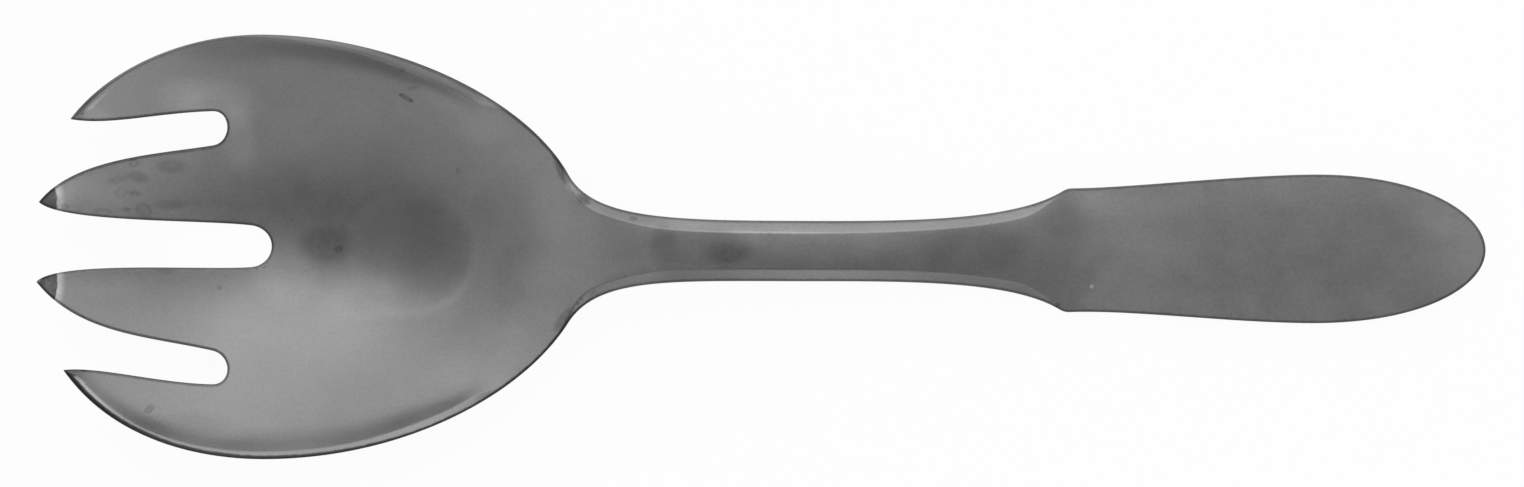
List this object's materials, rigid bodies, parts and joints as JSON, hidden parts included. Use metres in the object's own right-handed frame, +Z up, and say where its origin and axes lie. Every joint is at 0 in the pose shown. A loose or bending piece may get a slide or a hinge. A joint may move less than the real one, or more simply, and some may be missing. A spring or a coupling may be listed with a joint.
{
  "type": "salad serving fork",
  "caption": "Wide dished salad serving fork in satin steel, slotted into tines at the front, with a slender chamfered shank and a flat paddle handle with square shoulders.",
  "frame": {"origin": "middle of the box around the fork, on the surface that it lies on", "axes": "+X from the tines to the end of the handle, +Z up out of the hollow, +Y to the right seen with the handle towards you"},
  "size_m": [0.2048, 0.06, 0.0126],
  "materials": {
    "bowl": "satin, a little stained in the hollow",
    "tines": "satin, ground edges",
    "shank": "satin, brushed along its length",
    "handle": "satin, brushed along its length"
  },
  "bodies": {
    "root": {"bowl": "bowl", "inner_tine_left": "tines", "inner_tine_right": "tines", "outer_tine_left": "tines", "outer_tine_right": "tines", "shank": "shank", "handle": "handle"}
  },
  "joints": []
}
